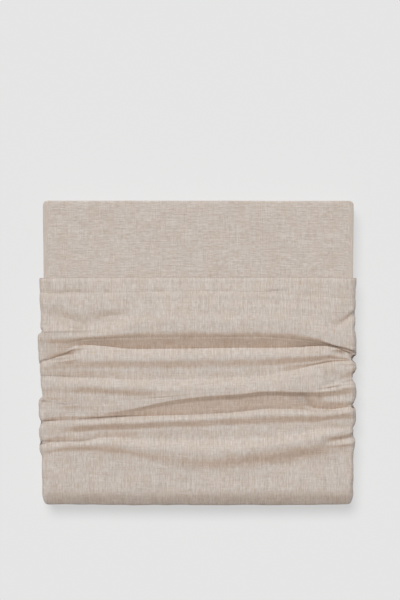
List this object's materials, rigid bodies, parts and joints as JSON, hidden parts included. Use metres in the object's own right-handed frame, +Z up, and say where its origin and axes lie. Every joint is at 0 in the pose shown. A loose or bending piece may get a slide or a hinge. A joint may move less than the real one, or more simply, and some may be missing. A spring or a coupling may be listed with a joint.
{
  "type": "folded duvet cover",
  "caption": "Duvet cover folded into a flat rectangular stack, with its own end turned back round it as a gathered pocket.",
  "frame": {"origin": "centre of the footprint, on the surface that the stack rests on", "axes": "+X to the right across the stack along the gathers, +Y from the pocket's closed end to the bare end of the stack, +Z up from the surface"},
  "size_m": [0.3678, 0.3514, 0.048],
  "materials": {
    "linen": "matt natural linen in a plain slubby weave, oatmeal"
  },
  "bodies": {
    "root": {"folded_cover": "linen"}
  },
  "joints": []
}
